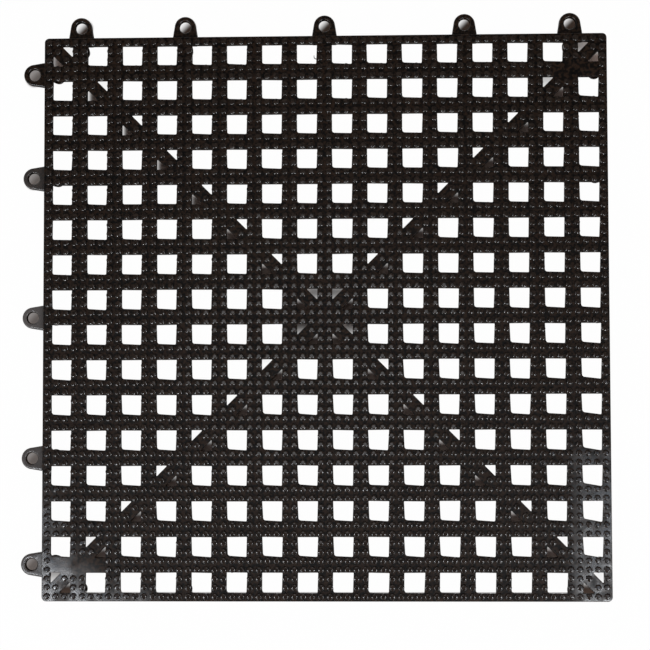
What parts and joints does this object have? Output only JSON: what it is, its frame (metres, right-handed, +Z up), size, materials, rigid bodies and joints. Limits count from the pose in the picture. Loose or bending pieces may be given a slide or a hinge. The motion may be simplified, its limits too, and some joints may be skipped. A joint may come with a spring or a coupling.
{
  "type": "interlocking drainage floor tile",
  "caption": "Square flexible PVC floor tile with an open grid of square drain holes, diagonal ribs, short pegs below, snap loops on two edges and snap posts under all four.",
  "frame": {"origin": "centre of the square deck, on the floor, at the foot of the middle peg", "axes": "+Z up out of the deck; +Y towards the edge with the back loops, which is up in the picture; +X to the right in the picture, away from the edge with the left loops"},
  "size_m": [0.3168, 0.3168, 0.0131],
  "materials": {
    "pvc": "satin"
  },
  "bodies": {
    "root": {"floor_tile": "pvc"}
  },
  "joints": []
}
